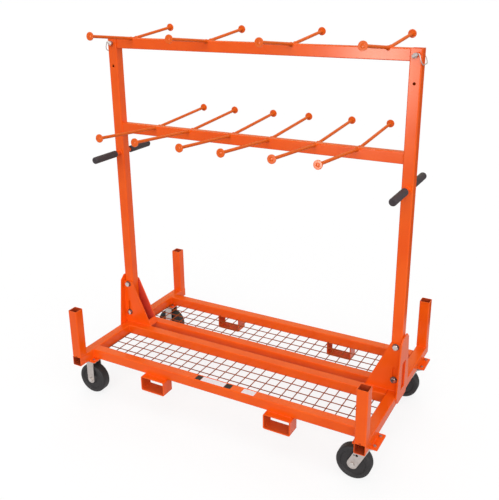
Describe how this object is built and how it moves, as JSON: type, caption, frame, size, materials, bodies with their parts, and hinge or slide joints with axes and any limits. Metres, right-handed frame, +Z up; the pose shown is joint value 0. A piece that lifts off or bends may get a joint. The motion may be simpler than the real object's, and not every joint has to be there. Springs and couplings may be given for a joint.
{
  "type": "pipe hanger cart",
  "caption": "Rolling steel cart with fork pockets, corner posts, wire decks and a tall pinned frame whose disc-ended arms carry lengths of pipe.",
  "frame": {"origin": "on the floor under the middle of the base frame", "axes": "+X along the cart towards the swivel casters, -Y towards the front, +Z up"},
  "size_m": [1.66, 0.9652, 1.8595],
  "materials": {
    "orange_powder_coat": "satin orange powder coat over welded steel",
    "black_rubber": "matt dark grey moulded rubber",
    "zinc_plated_steel": "dull bright zinc plate",
    "bare_steel": "turned and ground steel"
  },
  "bodies": {
    "cart": {"left_end_rail": "orange_powder_coat", "right_end_rail": "orange_powder_coat", "front_rail": "orange_powder_coat", "rear_rail": "orange_powder_coat", "front_inner_rail": "orange_powder_coat", "rear_inner_rail": "orange_powder_coat", "front_left_post": "orange_powder_coat", "rear_left_post": "orange_powder_coat", "front_right_post": "orange_powder_coat", "rear_right_post": "orange_powder_coat", "front_fork_pockets": "orange_powder_coat", "rear_fork_pockets": "orange_powder_coat", "front_deck_mesh": "orange_powder_coat", "rear_deck_mesh": "orange_powder_coat", "left_front_gusset": "orange_powder_coat", "left_rear_gusset": "orange_powder_coat", "right_front_gusset": "orange_powder_coat", "right_rear_gusset": "orange_powder_coat", "gusset_ties": "orange_powder_coat", "left_end_plate": "orange_powder_coat", "right_end_plate": "orange_powder_coat", "left_upright": "orange_powder_coat", "right_upright": "orange_powder_coat", "mid_bar": "orange_powder_coat", "top_bar": "orange_powder_coat", "top_bar_legs": "orange_powder_coat", "top_arms": "orange_powder_coat", "mid_arms": "orange_powder_coat", "arm_discs": "orange_powder_coat", "handle_rods": "orange_powder_coat", "caster_mount_plates": "orange_powder_coat", "handle_grips": "black_rubber", "bracket_bolts": "zinc_plated_steel", "bracket_washers": "zinc_plated_steel", "bracket_nuts": "zinc_plated_steel", "caster_bolts": "zinc_plated_steel", "caster_nuts": "zinc_plated_steel", "front_rigid_fork": "zinc_plated_steel", "rear_rigid_fork": "zinc_plated_steel", "rigid_axles": "zinc_plated_steel", "swivel_plates": "zinc_plated_steel", "swivel_kingpins": "zinc_plated_steel", "swivel_balls": "bare_steel"},
    "front_swivel": {"front_swivel_fork": "zinc_plated_steel", "front_swivel_axle": "zinc_plated_steel"},
    "front_left_wheel": {"front_left_wheel": "black_rubber", "front_left_wheel_bush": "bare_steel"},
    "front_right_wheel": {"front_right_wheel": "black_rubber", "front_right_wheel_bush": "bare_steel"},
    "rear_swivel": {"rear_swivel_fork": "zinc_plated_steel", "rear_swivel_axle": "zinc_plated_steel"},
    "rear_left_wheel": {"rear_left_wheel": "black_rubber", "rear_left_wheel_bush": "bare_steel"},
    "rear_right_wheel": {"rear_right_wheel": "black_rubber", "rear_right_wheel_bush": "bare_steel"},
    "left_lock_pin": {"left_lock_pin": "zinc_plated_steel"},
    "left_lock_bail": {"left_lock_bail": "zinc_plated_steel"},
    "right_lock_pin": {"right_lock_pin": "zinc_plated_steel"},
    "right_lock_bail": {"right_lock_bail": "zinc_plated_steel"}
  },
  "joints": [
    {"name": "front_left_wheel_spin", "type": "hinge", "parent": "cart", "child": "front_left_wheel", "pos_m": [-0.762, -0.3604, 0.08], "axis": [0, 1, 0], "continuous": true},
    {"name": "front_caster_swivel", "type": "hinge", "parent": "cart", "child": "front_swivel", "pos_m": [0.762, -0.3604, 0.1894], "axis": [0, 0, 1], "continuous": true},
    {"name": "front_right_wheel_spin", "type": "hinge", "parent": "front_swivel", "child": "front_right_wheel", "pos_m": [0.702, -0.3604, 0.08], "axis": [0, 1, 0], "continuous": true},
    {"name": "rear_left_wheel_spin", "type": "hinge", "parent": "cart", "child": "rear_left_wheel", "pos_m": [-0.762, 0.3604, 0.08], "axis": [0, 1, 0], "continuous": true},
    {"name": "rear_caster_swivel", "type": "hinge", "parent": "cart", "child": "rear_swivel", "pos_m": [0.762, 0.3604, 0.1894], "axis": [0, 0, 1], "continuous": true},
    {"name": "rear_right_wheel_spin", "type": "hinge", "parent": "rear_swivel", "child": "rear_right_wheel", "pos_m": [0.702, 0.3604, 0.08], "axis": [0, 1, 0], "continuous": true},
    {"name": "left_pin_pull", "type": "slide", "parent": "cart", "child": "left_lock_pin", "axis": [0, -1, 0], "range_m": [0, 0.085]},
    {"name": "left_bail_swing", "type": "hinge", "parent": "left_lock_pin", "child": "left_lock_bail", "pos_m": [-0.76, -0.0402, 1.78515], "axis": [-0.8829, 0, 0.4695], "range_deg": [0, 170]},
    {"name": "right_pin_pull", "type": "slide", "parent": "cart", "child": "right_lock_pin", "axis": [0, -1, 0], "range_m": [0, 0.085]},
    {"name": "right_bail_swing", "type": "hinge", "parent": "right_lock_pin", "child": "right_lock_bail", "pos_m": [0.76, -0.0402, 1.78515], "axis": [-0.8829, 0, -0.4695], "range_deg": [0, 170]}
  ],
  "couplings": [
    {"joint": "left_bail_swing", "follows": "left_pin_pull", "rad_per_m": 34},
    {"joint": "right_bail_swing", "follows": "right_pin_pull", "rad_per_m": 34}
  ]
}
